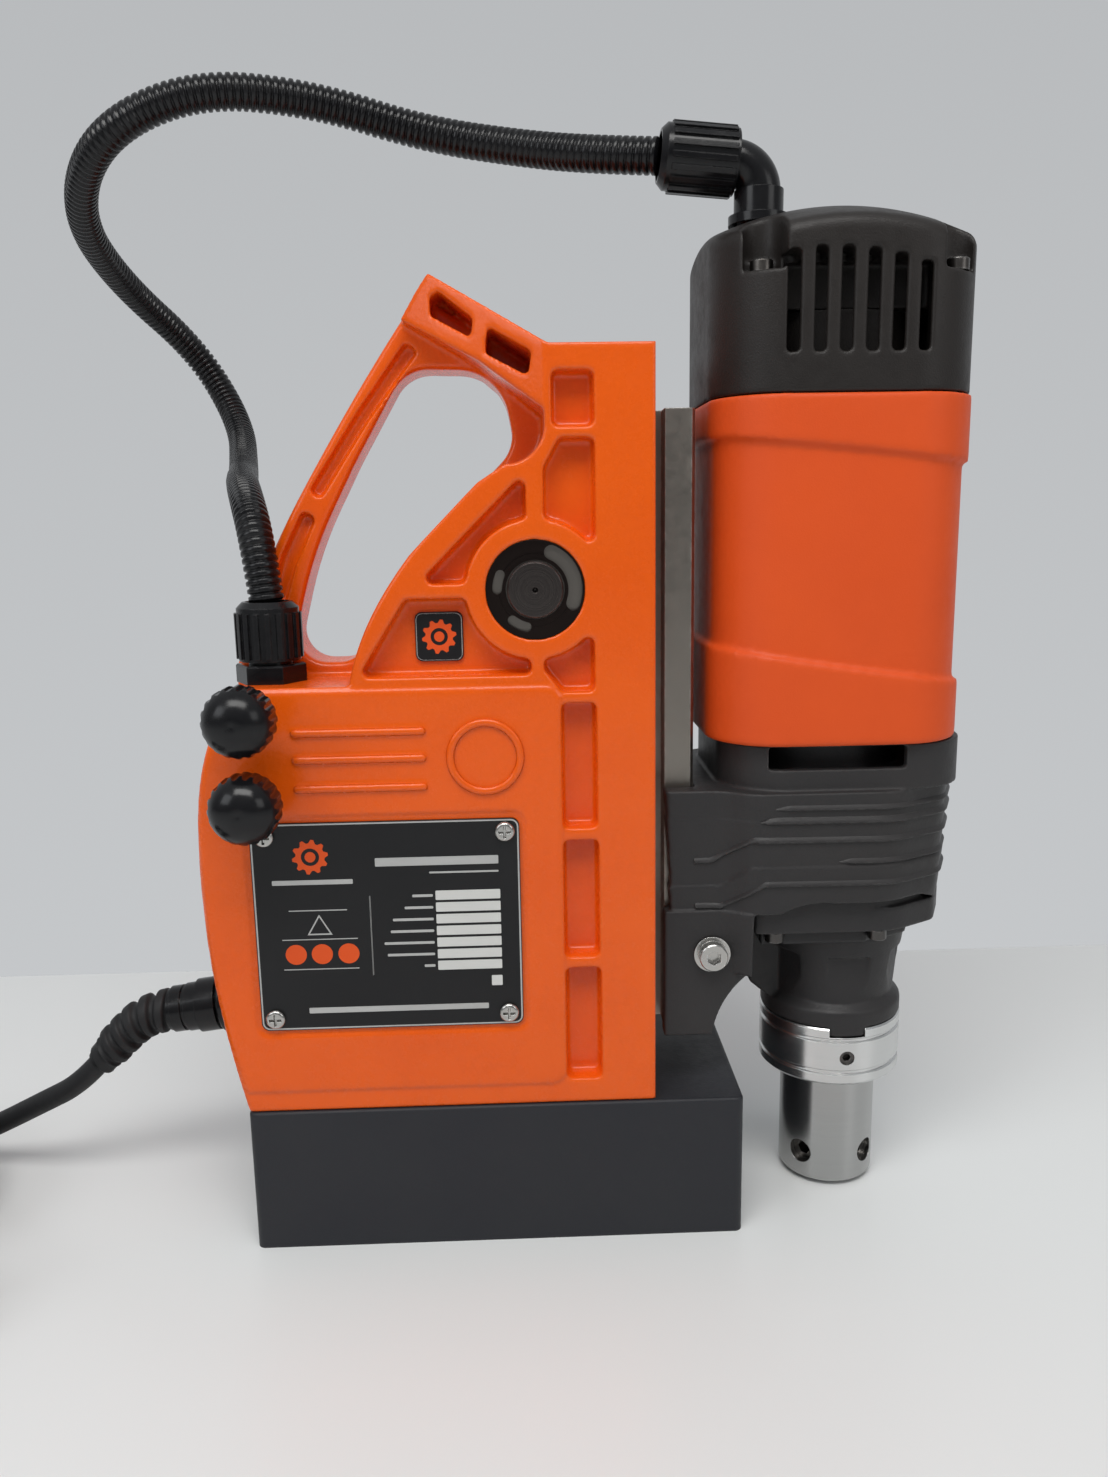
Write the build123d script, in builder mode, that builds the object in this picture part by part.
"""Magnetic drill press: magnet stand, sliding drill carriage, feed shaft, spindle and gear train.

Millimetres, +Z up. The origin is the centre of the magnet's bottom face. +X points to the
spindle, and -Y is the side that carries the rating plate.
"""

from build123d import *
import math
import os

os.makedirs("parts", exist_ok=True)

# ---------------------------------------------------------------- driving dimensions
base_length = 190.0
base_width = 94.0
base_height = 57.0
groove_length = 150.0  # racetrack groove for the coil
groove_width = 60.0
groove_rib = 16.0
groove_depth = 36.0
resin_depth = 6.5

frame_half = 46.0  # half width of the stand's casting
pad_height = 1.0  # the raised panel on each side of the casting
frame_front = 60.8
frame_top = 336.0
ledge_height = 220.0  # top of the electrics compartment
grip_half = 11.5
bar_web_half = 7.0
pocket_depth = 8.0

hub_x = 18.3  # feed shaft
hub_z = 253.0
hub_radius = 17.5
hub_boss_radius = 25.0
shaft_radius = 8.5
shaft_stub_radius = 8.0
shaft_stub_length = 21.0

feed_module = 1.5
feed_teeth = 20
pinion_half = 11.0
rack_half = 10.0

slide_depth = 50.0  # X of the dovetail's wide side
slide_neck_half = 20.0
slide_wide_half = 26.2
rack_slot_half = 16.0
rack_slot_back = 30.8
gib_thickness = 3.0
slide_gap = 0.15
rail_bottom = 80.0
rail_top = 315.5
rail_plate_back = 66.0
rail_plate_front = 77.0
rail_plate_half = 30.0

motor_x = 130.0
motor_half = 48.0
motor_corner = 26.0
motor_wall = 3.0
shell_bottom = 194.5
shell_top = 318.4
cap_top = 386.6
shell_inset = 2.0
cap_screw_x = 34.0
cap_screw_y = 37.0
cap_screw_z = 359.0
cap_screw_shift = 2.2  # the screws stand a little towards the front

spindle_x = 140.1
spindle_bottom = 2.0
socket_radius = 19.45
arbor_bore_radius = 9.525
arbor_bore_depth = 52.0
journal_radius = 14.95
bearing_radius = 20.97

gearbox_top = 177.0
gearbox_split = 129.5
gearbox_step = 120.0
gearbox_floor = 113.5
bracket_bottom = 79.0
bracket_bolt_x = 83.4
bracket_bolt_z = 112.8
first_module = 0.8
first_pinion_teeth = 11
first_gear_teeth = 44
second_module = 1.0
second_pinion_teeth = 12
second_gear_teeth = 50
pressure_angle = math.radians(25)
backlash = 0.2

conduit_radius = 6.5
nut_radius = 12.2
cord_gland_x = -80.0  # conduit gland on the compartment's ledge
cord_gland_y = -25.0
cord_gland_top = 249.5
elbow_x = 103.5
elbow_y = -5.0
elbow_z = 402.5
elbow_seat = 381.6
elbow_tilt = math.radians(5)

cable_radius = 4.5
coil_x = -278.0
coil_y = -30.0
coil_inner_turn = 50.0
coil_layers = 4

plate_x = -38.25  # rating plate
plate_z = 130.85
plate_length = 97.9
plate_height = 80.0
cover_x = -37.0  # control cover on the far side
cover_z = 140.5

knob_x = -83.0
knob_radius = 12.3
knob_upper_z = 211.9
knob_lower_z = 181.6

near = Plane.XZ  # its normal points to -Y, so an offset is a distance towards the near side


# ---------------------------------------------------------------- shared outlines
def gear_outline(module, teeth, angle, play):
    """The outline of a spur gear whose first tooth points along angle, in degrees."""
    pitch_radius = module * teeth / 2
    base_radius = pitch_radius * math.cos(pressure_angle)
    tip_radius = pitch_radius + 0.9 * module
    root_radius = pitch_radius - 1.2 * module
    start_radius = max(base_radius, root_radius + 0.05 * module)
    middle_radius = (start_radius + tip_radius) / 2
    pitch_half = (math.pi / 2 - play / module) / teeth
    involute_pitch = math.tan(pressure_angle) - pressure_angle

    def half_angle(radius):
        slope = math.acos(min(1.0, base_radius / radius))
        return pitch_half + involute_pitch - (math.tan(slope) - slope)

    def point(radius, turn):
        return (radius * math.cos(turn), radius * math.sin(turn))

    step = 2 * math.pi / teeth
    start_half = half_angle(start_radius)
    with BuildSketch() as outline:
        with BuildLine():
            for tooth in range(teeth):
                middle = math.radians(angle) + tooth * step
                low = [point(r, middle - half_angle(r)) for r in (start_radius, middle_radius, tip_radius)]
                high = [point(r, middle + half_angle(r)) for r in (tip_radius, middle_radius, start_radius)]
                root_in = point(root_radius, middle - start_half)
                root_out = point(root_radius, middle + start_half)
                Line(root_in, low[0])
                ThreePointArc(*low)
                ThreePointArc(low[2], point(tip_radius, middle), high[0])
                ThreePointArc(*high)
                Line(high[2], root_out)
                ThreePointArc(
                    root_out,
                    point(root_radius, middle + step / 2),
                    point(root_radius, middle + step - start_half),
                )
        make_face()
    return outline.sketch


def socket_screw(head_radius, head_height, shank_radius, length, across_flats):
    """A screw whose head stands on Z = 0 and whose shank points down."""
    with BuildPart() as screw:
        with BuildSketch(Plane.XY):
            Circle(head_radius)
        extrude(amount=head_height)
        chamfer(screw.edges().sort_by(Axis.Z)[-1], length=0.08 * head_radius)
        with BuildSketch(Plane.XY.offset(head_height)):
            RegularPolygon(across_flats / 2, 6, major_radius=False)
        extrude(amount=-0.6 * head_height, mode=Mode.SUBTRACT)
        with BuildSketch(Plane.XY):
            Circle(shank_radius)
        extrude(amount=-length)
    return screw.part


def cross_screw(head_radius, head_height, shank_radius, length):
    """A pan head screw with a cross recess; its head stands on Z = 0."""
    with BuildPart() as screw:
        with BuildSketch(Plane.XY):
            Circle(head_radius)
        extrude(amount=head_height)
        fillet(screw.edges().sort_by(Axis.Z)[-1], radius=0.7 * head_height)
        with BuildSketch(Plane.XY.offset(head_height)):
            Rectangle(1.25 * head_radius, 0.28 * head_radius)
            Rectangle(0.28 * head_radius, 1.25 * head_radius)
        extrude(amount=-0.7 * head_height, taper=8, mode=Mode.SUBTRACT)
        with BuildSketch(Plane.XY):
            Circle(shank_radius)
        extrude(amount=-length)
    return screw.part


def ribbed_nut(height, bore):
    """A round cable nut with grip ribs and a coned mouth, standing on Z = 0."""
    with BuildPart() as nut:
        with BuildSketch(Plane.XY):
            Circle(nut_radius - 0.9)
        extrude(amount=height)
        chamfer(nut.edges().sort_by(Axis.Z)[-1], length=2.2)
        with BuildSketch(Plane.XY.offset(1.0)):
            with PolarLocations(nut_radius - 1.0, 18):
                Rectangle(2.0, 2.0)
        extrude(amount=height - 5.0)
        with BuildSketch(Plane.XY):
            Circle(bore)
        extrude(amount=height, mode=Mode.SUBTRACT)
    return nut.part


def ring(plane, outer, inner, thickness):
    """A flat ring on a plane, grown along the plane's normal."""
    with BuildPart() as annulus:
        with BuildSketch(plane):
            Circle(outer)
            Circle(inner, mode=Mode.SUBTRACT)
        extrude(amount=thickness)
    return annulus.part


def bend_radii(name, points):
    """The largest tangent arcs that a route's runs allow, one for each inner point."""
    radii = []
    for before, corner, after in zip(points, points[1:], points[2:]):
        run_in = Vector(*corner) - Vector(*before)
        run_out = Vector(*after) - Vector(*corner)
        turn = math.radians(run_in.get_angle(run_out))
        radii.append(0.45 * min(run_in.length, run_out.length) / math.tan(turn / 2))
    print(name, "bend radii", [round(radius, 1) for radius in radii])
    return radii


def tube_along(name, points, radius):
    """A round tube along straight runs joined by tangent arcs."""
    with BuildPart() as tube:
        with BuildLine() as route:
            FilletPolyline(*points, radius=bend_radii(name, points))
        with BuildSketch(Plane(origin=route.line @ 0, z_dir=route.line % 0)):
            Circle(radius)
        sweep(path=route.line)
    length = sum(edge.length for edge in route.line.edges())
    expected = math.pi * radius**2 * length
    print(name, "length", round(length, 1), "volume share", round(tube.part.volume / expected, 4))
    return tube.part


with BuildSketch() as frame_profile:  # the casting's full-width outline, X across and Z up
    with BuildLine():
        Polyline((-94.8, base_height), (frame_front, base_height), (frame_front, frame_top))
        Polyline((frame_front, frame_top), (22.5, frame_top), (22.5, 308.0))
        ThreePointArc((22.5, 308.0), (18.8, 300.4), (8.6, 296.2))
        Line((8.6, 296.2), (-1.1, 290.2))
        Spline((-1.1, 290.2), (-16.2, 276.4), (-30.8, 258.9), (-42.0, 240.3), (-48.8, ledge_height))
        Line((-48.8, ledge_height), (-88.6, ledge_height))
        Spline((-88.6, ledge_height), (-101.2, 197.0), (-106.5, 152.0), (-105.4, 120.0), (-94.8, base_height))
    make_face()

with BuildSketch() as grip_profile:  # the thin handle and the web behind the opening
    with BuildLine():
        Spline((-96.5, 222.0), (-81.4, 264.0), (-59.9, 301.7), (-36.1, 338.1), (-21.5, 358.5))
        Polyline((-21.5, 358.5), (30.0, 326.0), (30.0, 270.0), (-40.0, 205.0), (-96.5, 205.0), (-96.5, 222.0))
    make_face()

with BuildSketch() as pad_profile:  # the raised panel beside the electrics compartment
    with BuildLine():
        Polyline((-87.4, 218.4), (21.0, 218.4))
        TangentArc((21.0, 218.4), (26.3, 213.1), tangent=(1, 0))
        Line((26.3, 213.1), (26.3, 71.0))
        TangentArc((26.3, 71.0), (21.3, 66.0), tangent=(0, -1))
        Line((21.3, 66.0), (-94.2, 66.0))
        Spline((-94.2, 66.0), (-103.8, 120.0), (-104.9, 152.0), (-99.7, 196.0), (-87.4, 218.4))
    make_face()

opening_corners = [
    (-27.5, 332.3),
    (-47.0, 299.5),
    (-64.6, 266.5),
    (-75.8, 224.7),
    (-51.0, 224.7),
    (-33.2, 258.2),
    (12.4, 303.6),
    (7.4, 331.4),
]
with BuildSketch() as opening_profile:  # the hand opening
    with BuildLine():
        FilletPolyline(*opening_corners, radius=[15, 150, 150, 11, 9, 90, 14, 19], close=True)
    make_face()

gearbox_corners = [
    (65.2, 38.5),
    (86.0, 38.5),
    (98.0, 46.5),
    (150.0, 46.5),
    (173.0, 33.0),
    (182.0, 13.0),
]
with BuildSketch() as gearbox_profile:  # the gearbox seen from above
    with BuildLine():
        half_outline = [(x, -y) for x, y in gearbox_corners]
        other_half = list(reversed(gearbox_corners))
        FilletPolyline(
            *half_outline, *other_half, radius=[2, 18, 18, 28, 16, 15, 15, 16, 28, 18, 18, 2], close=True
        )
    make_face()


def motor_outline(half, corner):
    """A rounded square with slightly bowed sides, centred on the motor's axis."""
    flat = half - 1.6
    with BuildSketch() as outline:
        with BuildLine():
            ThreePointArc((-flat, -flat), (0, -half), (flat, -flat))
            ThreePointArc((flat, -flat), (half, 0), (flat, flat))
            ThreePointArc((flat, flat), (0, half), (-flat, flat))
            ThreePointArc((-flat, flat), (-half, 0), (-flat, -flat))
        make_face()
        fillet(outline.vertices(), radius=corner)
    return outline.sketch


shell_outline = motor_outline(motor_half, motor_corner)
shell_inner = motor_outline(motor_half - motor_wall, motor_corner - motor_wall)
waist_outline = motor_outline(motor_half - shell_inset, motor_corner - shell_inset)
cap_screw_places = [
    (cap_screw_shift + x, y) for x in (-cap_screw_x, cap_screw_x) for y in (-cap_screw_y, cap_screw_y)
]
waist_inner = motor_outline(motor_half - shell_inset - motor_wall, motor_corner - shell_inset - motor_wall)
cap_outline = motor_outline(motor_half - 0.2, motor_corner + 2.0)


def motor_level(height):
    return Plane(origin=(motor_x, 0, height), z_dir=(0, 0, 1), x_dir=(1, 0, 0))


def spindle_level(height):
    return Plane(origin=(spindle_x, 0, height), z_dir=(0, 0, 1), x_dir=(1, 0, 0))


def side_plane(side, distance):
    """The XZ plane at a distance from the middle, on the near (1) or far (-1) side."""
    return near.offset(side * distance)


# ---------------------------------------------------------------- magnet base
base_bolt_places = [(x, y) for x in (-72.0, -6.0) for y in (-27.0, 27.0)]

with BuildPart() as magnet_base:
    with BuildSketch(Plane.XY):
        RectangleRounded(base_length, base_width, 3.0)
    extrude(amount=base_height)
    fillet(magnet_base.faces().sort_by(Axis.Z)[-1].edges(), radius=1.2)
    with BuildSketch(Plane.XY):
        SlotOverall(groove_length, groove_width)
        SlotOverall(groove_length - 2 * groove_rib, groove_width - 2 * groove_rib, mode=Mode.SUBTRACT)
    extrude(amount=groove_depth, mode=Mode.SUBTRACT)
    with BuildSketch(Plane.XY.offset(base_height)):
        with Locations(*base_bolt_places):
            Circle(4.0)
    extrude(amount=-18.0, mode=Mode.SUBTRACT)

with BuildPart() as magnet_coil:
    with BuildSketch(Plane.XY.offset(resin_depth)):
        SlotOverall(groove_length - 1.0, groove_width - 1.0)
        inner_length = groove_length - 2 * groove_rib + 1.0
        SlotOverall(inner_length, groove_width - 2 * groove_rib + 1.0, mode=Mode.SUBTRACT)
    extrude(amount=groove_depth - resin_depth - 0.5)

with BuildPart() as potting_resin:
    with BuildSketch(Plane.XY.offset(0.4)):
        SlotOverall(groove_length, groove_width)
        SlotOverall(groove_length - 2 * groove_rib, groove_width - 2 * groove_rib, mode=Mode.SUBTRACT)
    extrude(amount=resin_depth - 0.4)

# ---------------------------------------------------------------- stand casting
compartment_low = 68.0
compartment_high = 212.0
compartment_rear = -90.0
compartment_front = 14.0
compartment_centre = ((compartment_rear + compartment_front) / 2, (compartment_low + compartment_high) / 2)
near_wall = 38.0  # |Y| of the compartment's near wall

with BuildPart() as handle:  # grip and web, with a soft edge for the hand
    with BuildSketch(near):
        add(grip_profile.sketch)
        add(opening_profile.sketch, mode=Mode.SUBTRACT)
    extrude(amount=grip_half, both=True)
    fillet(handle.faces().filter_by(Axis.Y).edges(), radius=2.2)

bar_tip = (-17.0, 363.0)
with BuildPart() as top_bar:  # the broad bar over the opening, tapered to its tip
    with BuildSketch(near):
        bar_under = [(-21.8, 357.0), (-27.8, 348.2), (0.0, 332.2), (22.5, 314.5), (24.0, 314.5)]
        Polygon((24.0, frame_top), bar_tip, *bar_under, align=None)
    extrude(amount=frame_half, both=True)
    for side in (1, -1):
        with BuildSketch(Plane.XY.offset(300.0)):
            Polygon(
                (22.5, side * (frame_half + 1)),
                (22.5, side * frame_half),
                (-30.0, side * 17.0),
                (-30.0, side * (frame_half + 1)),
                align=None,
            )
        extrude(amount=80.0, mode=Mode.SUBTRACT)
        with BuildSketch(side_plane(side, bar_web_half)) as bar_pockets:
            Polygon((-16.6, 348.6), (-16.6, 354.6), (-13.4, 356.4), (-1.4, 346.4), (-2.0, 339.8), align=None)
            Polygon((2.8, 334.2), (3.6, 343.2), (18.6, 333.6), (17.4, 325.6), align=None)
            fillet(bar_pockets.vertices(), radius=1.2)
        extrude(amount=side * (frame_half + 2 - bar_web_half), mode=Mode.SUBTRACT)

wall_pockets = [  # the polygons of the side pockets; those near the hub stop at its boss
    [(25.5, 309.0), (39.1, 309.0), (39.1, 326.7), (25.5, 326.7)],
    [(22.0, 262.0), (39.2, 262.0), (39.2, 304.4), (27.7, 304.4), (22.3, 294.6)],
    [(15.1, 256.0), (15.1, 292.6), (-22.0, 256.0)],
    [(16.0, 250.0), (-27.5, 250.0), (-44.6, 223.4), (16.0, 223.4)],
    [(38.6, 246.0), (21.4, 246.0), (21.4, 224.6), (27.6, 216.8), (38.6, 216.8)],
    [(27.4, 166.3), (39.0, 166.3), (39.0, 212.0), (27.4, 212.0)],
    [(27.4, 116.4), (39.4, 116.4), (39.4, 161.0), (27.4, 161.0)],
    [(27.6, 67.0), (39.8, 67.0), (39.8, 111.3), (27.6, 111.3)],
]
grip_slots = [
    [(-26.8, 341.2), (-22.6, 338.4), (-42.2, 313.6), (-60.6, 286.6), (-64.6, 288.6), (-45.6, 316.4)],
    [(-67.6, 281.5), (-63.2, 279.0), (-71.5, 262.0), (-76.5, 247.0), (-81.0, 249.0), (-76.2, 265.0)],
]
stud_places = [(knob_x, knob_upper_z), (knob_x, knob_lower_z)]
board_post_places = [(x, z) for x in (-66.0, -12.0) for z in (92.0, 188.0)]
cover_screw_places = [(cover_x + dx, cover_z + dz) for dx in (-47.5, 47.5) for dz in (-67.5, 0, 67.5)]
plate_screw_places = [(plate_x + dx, plate_z + dz) for dx in (-43.6, 43.6) for dz in (-35.2, 35.2)]
gib_screw_heights = [95.0, 160.0, 225.0, 300.0]
gib_shift = (gib_thickness + 2 * slide_gap) / math.cos(math.atan2(slide_wide_half - slide_neck_half, 10.8))
mains_axis = (-0.9925, 0, -0.122)
mains_plane = Plane(origin=(-100.9, 0, 84.0), z_dir=mains_axis, x_dir=(0, 1, 0))

with BuildPart() as body_casting:
    with BuildSketch(near):
        add(frame_profile.sketch)
    extrude(amount=frame_half, both=True)
    curved_edges = body_casting.faces().filter_by(Axis.Y).edges().filter_by(GeomType.BSPLINE)
    fillet(curved_edges, radius=1.5)
    for side in (1, -1):
        with BuildSketch(side_plane(side, frame_half - 0.5)):
            add(pad_profile.sketch)
        extrude(amount=side * (pad_height + 0.5))
    add(handle.part)
    add(top_bar.part)
    with BuildSketch(near):
        add(opening_profile.sketch)
    extrude(amount=base_width, both=True, mode=Mode.SUBTRACT)
    for side in (1, -1):
        for outline in wall_pockets:
            with BuildSketch(side_plane(side, frame_half - pocket_depth)) as pocket:
                Polygon(*outline, align=None)
                with Locations((hub_x, hub_z)):
                    Circle(hub_boss_radius, mode=Mode.SUBTRACT)
                fillet(pocket.vertices(), radius=1.8)
            extrude(amount=side * (pocket_depth + 2), taper=-4, mode=Mode.SUBTRACT)
        for outline in grip_slots:
            with BuildSketch(side_plane(side, grip_half - 4.0)) as slot:
                Polygon(*outline, align=None)
                fillet(slot.vertices(), radius=1.8)
            extrude(amount=side * 6.0, taper=-6, mode=Mode.SUBTRACT)
    # feed shaft bore
    with BuildSketch(near):
        with Locations((hub_x, hub_z)):
            Circle(hub_radius)
    extrude(amount=base_width, both=True, mode=Mode.SUBTRACT)
    # dovetail slideway, with room for the gib on the far flank
    with BuildSketch(Plane.XY.offset(base_height)):
        Polygon(
            (frame_front + 2, -slide_neck_half),
            (frame_front, -slide_neck_half),
            (slide_depth, -slide_wide_half),
            (slide_depth, -rack_slot_half),
            (rack_slot_back, -rack_slot_half),
            (rack_slot_back, rack_slot_half),
            (slide_depth, rack_slot_half),
            (slide_depth, slide_wide_half + gib_shift),
            (frame_front, slide_neck_half + gib_shift),
            (frame_front + 2, slide_neck_half + gib_shift),
            align=None,
        )
    extrude(amount=frame_top - base_height + 1, mode=Mode.SUBTRACT)
    # electrics compartment, open on the far side
    with BuildSketch(near.offset(near_wall)):
        with Locations(compartment_centre):
            RectangleRounded(
                compartment_front - compartment_rear, compartment_high - compartment_low, 8.0
            )
    extrude(amount=-(near_wall + base_width), mode=Mode.SUBTRACT)
    with BuildSketch(near.offset(near_wall)):
        with Locations(*board_post_places):
            Circle(3.5)
    extrude(amount=-8.0)
    # bosses for the cover's screws, against the compartment's ends
    with BuildSketch(near.offset(-(frame_half - 14.0))):
        with Locations(*cover_screw_places):
            Rectangle(13.0, 13.0)
    extrude(amount=-14.0)
    with BuildSketch(near.offset(-(frame_half - 12.0))):
        with Locations(*cover_screw_places):
            Circle(1.8)
    extrude(amount=-20.0, mode=Mode.SUBTRACT)
    # raised ribs and a raised ring above the rating plate
    with BuildSketch(near.offset(frame_half + pad_height)):
        with Locations(*[(-46.2, height) for height in (203.8, 194.0, 183.4)]):
            SlotOverall(47.5, 2.6)
        with Locations((-0.9, 193.8)):
            Circle(13.2)
            Circle(12.0, mode=Mode.SUBTRACT)
    extrude(amount=0.7, taper=20)
    # recess and screw holes of the rating plate
    with BuildSketch(near.offset(frame_half + pad_height - 0.8)):
        with Locations((plate_x, plate_z)):
            RectangleRounded(plate_length + 5.0, plate_height + 6.0, 5.0)
    extrude(amount=5.0, mode=Mode.SUBTRACT)
    with BuildSketch(near.offset(frame_half + pad_height)):
        with Locations(*plate_screw_places):
            Circle(1.65)
    extrude(amount=-7.5, mode=Mode.SUBTRACT)
    # knob studs, base bolts, gib screws and glands
    with BuildSketch(near.offset(frame_half + pad_height + 1)):
        with Locations(*stud_places):
            Circle(3.0)
    extrude(amount=-12.0, mode=Mode.SUBTRACT)
    with BuildSketch(Plane.XY.offset(base_height)):
        with Locations(*base_bolt_places):
            Circle(4.5)
    extrude(amount=compartment_low - base_height + 1, mode=Mode.SUBTRACT)
    with BuildSketch(near.offset(-(frame_half + 1))):
        with Locations(*[(56.0, height) for height in gib_screw_heights]):
            Circle(3.0)
    extrude(amount=26.0, mode=Mode.SUBTRACT)
    with BuildSketch(Plane.XY.offset(ledge_height)):
        with Locations((cord_gland_x, cord_gland_y)):
            Circle(8.0)
    extrude(amount=-12.0, mode=Mode.SUBTRACT)
    with BuildSketch(mains_plane.offset(6)):
        Circle(8.0)
    extrude(amount=-24.0, mode=Mode.SUBTRACT)
    with BuildSketch(mains_plane.offset(-0.5)):
        Circle(14.8)
    extrude(amount=9.0, mode=Mode.SUBTRACT)

with BuildPart() as base_bolts:
    with Locations(*[(x, y, compartment_low) for x, y in base_bolt_places]):
        add(socket_screw(6.5, 8.0, 3.95, compartment_low - base_height + 17.0, 6.0))

# ---------------------------------------------------------------- plates on the near side
with BuildPart() as nameplate:
    with BuildSketch(near.offset(frame_half + pad_height - 0.8)):
        with Locations((plate_x, plate_z)):
            RectangleRounded(plate_length, plate_height, 3.0)
        with Locations(*plate_screw_places):
            Circle(1.8, mode=Mode.SUBTRACT)
    extrude(amount=1.1)

with BuildPart() as nameplate_screws:
    plate_front = -(frame_half + pad_height + 0.3)
    with Locations(*[Plane(origin=(x, plate_front, z), z_dir=(0, -1, 0)) for x, z in plate_screw_places]):
        add(cross_screw(3.7, 1.9, 1.6, 6.5))

with BuildPart() as badge:
    with BuildSketch(near.offset(frame_half - pocket_depth)):
        with Locations((-16.4, 236.6)):
            RectangleRounded(17.2, 17.7, 2.5)
    extrude(amount=1.2)
    fillet(badge.faces().sort_by(Axis.Y)[0].edges(), radius=0.4)

# ---------------------------------------------------------------- feed shaft and its bearings
with BuildPart() as feed_bearings:
    for side in (-1, 1):
        bearing_plane = Plane(origin=(hub_x, side * 34.0, hub_z), z_dir=(0, side, 0))
        add(ring(bearing_plane, hub_radius - 0.03, shaft_radius + 0.05, 10.0))

# windows of the near retainer: centre radius, start angle, span and width
window_sizes = ((14.2, -20, 86, 5.0), (13.4, 156, 22, 3.4), (13.4, 232, 24, 3.4))
window_arcs = [(CenterArc((0, 0), radius, start, span), width) for radius, start, span, width in window_sizes]
with BuildPart() as hub_retainers:
    with BuildSketch(Plane(origin=(hub_x, -44.0, hub_z), x_dir=(1, 0, 0), z_dir=(0, -1, 0))):
        Circle(hub_radius - 0.1)
        Circle(10.4, mode=Mode.SUBTRACT)
        for arc, width in window_arcs:
            SlotArc(arc, width, mode=Mode.SUBTRACT)
    extrude(amount=1.6)
    with BuildSketch(Plane(origin=(hub_x, 44.0, hub_z), x_dir=(1, 0, 0), z_dir=(0, 1, 0))):
        Circle(hub_radius - 0.1)
        Circle(shaft_radius + 0.4, mode=Mode.SUBTRACT)
    extrude(amount=1.6)

feed_pitch_radius = feed_module * feed_teeth / 2
with BuildPart() as feed_shaft:
    with BuildSketch(Plane.XY.offset(hub_z)) as half_section:
        with BuildLine():
            Polyline(
                (hub_x, -46.4),
                (hub_x + 9.4, -46.4),
                (hub_x + 10.0, -45.8),
                (hub_x + 10.0, -44.1),
                (hub_x + shaft_radius, -44.1),
                (hub_x + shaft_radius, -33.6),
                (hub_x + 11.0, -33.6),
                (hub_x + 11.0, 33.6),
                (hub_x + shaft_radius, 33.6),
                (hub_x + shaft_radius, 46.5),
                (hub_x + shaft_stub_radius, 46.5),
                (hub_x + shaft_stub_radius, 46.5 + shaft_stub_length - 1.0),
                (hub_x + shaft_stub_radius - 1.0, 46.5 + shaft_stub_length),
                (hub_x, 46.5 + shaft_stub_length),
                close=True,
            )
        make_face()
    revolve(axis=Axis((hub_x, 0, hub_z), (0, 1, 0)))
    with BuildSketch(Plane(origin=(hub_x, pinion_half, hub_z), x_dir=(1, 0, 0), z_dir=(0, -1, 0))):
        add(gear_outline(feed_module, feed_teeth, 0, backlash))
    extrude(amount=2 * pinion_half)
    with Locations(Plane(origin=(hub_x, -46.4, hub_z), z_dir=(0, -1, 0))):
        CounterSinkHole(radius=0.5, counter_sink_radius=1.1, depth=3.0, counter_sink_angle=60)

# ---------------------------------------------------------------- gib
flank = Vector(slide_depth - frame_front, slide_wide_half - slide_neck_half).normalized()
outward = Vector(-flank.Y, flank.X) * -1
gib_start = Vector(frame_front - 0.4, slide_neck_half + 0.23) + outward * 0.0
gib_end = gib_start + flank * 11.4
gib_corners = [gib_start, gib_end, gib_end + outward * gib_thickness, gib_start + outward * gib_thickness]
with BuildPart() as gib_strip:
    with BuildSketch(Plane.XY.offset(base_height + 0.5)):
        Polygon(*[(corner.X, corner.Y) for corner in gib_corners], align=None)
    extrude(amount=frame_top - base_height - 1.5)

with BuildPart() as gib_screws:
    for height in gib_screw_heights:
        with BuildSketch(Plane(origin=(56.0, 44.5, height), x_dir=(1, 0, 0), z_dir=(0, 1, 0))):
            Circle(2.95)
        extrude(amount=-14.2)
        with BuildSketch(Plane(origin=(56.0, 44.5, height), x_dir=(1, 0, 0), z_dir=(0, 1, 0))):
            RegularPolygon(1.5, 6, major_radius=False)
        extrude(amount=-3.5, mode=Mode.SUBTRACT)

# ---------------------------------------------------------------- controls on the far side
cover_face = frame_half + pad_height
cover_thickness = 3.0
rocker_place = (-14.0, 150.0)
button_places = {"start_button": (-56.0, 168.0), "stop_button": (-56.0, 132.0)}
button_radius = 8.0
with BuildPart() as control_cover:
    with BuildSketch(near.offset(-cover_face)) as cover_sketch:
        with Locations((cover_x, cover_z)):
            RectangleRounded(104.0, 144.0, 6.0)
        with Locations(*cover_screw_places):
            Circle(2.2, mode=Mode.SUBTRACT)
        with Locations(*button_places.values()):
            Circle(button_radius + 0.3, mode=Mode.SUBTRACT)
        with Locations(rocker_place):
            Rectangle(15.0, 27.0, mode=Mode.SUBTRACT)
    extrude(amount=-cover_thickness)
    fillet(control_cover.faces().sort_by(Axis.Y)[-1].outer_wire().edges(), radius=1.2)

with BuildPart() as cover_screws:
    with Locations(
        *[Plane(origin=(x, cover_face + cover_thickness, z), z_dir=(0, 1, 0)) for x, z in cover_screw_places]
    ):
        add(cross_screw(3.4, 1.8, 1.75, 12.0))

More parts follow.
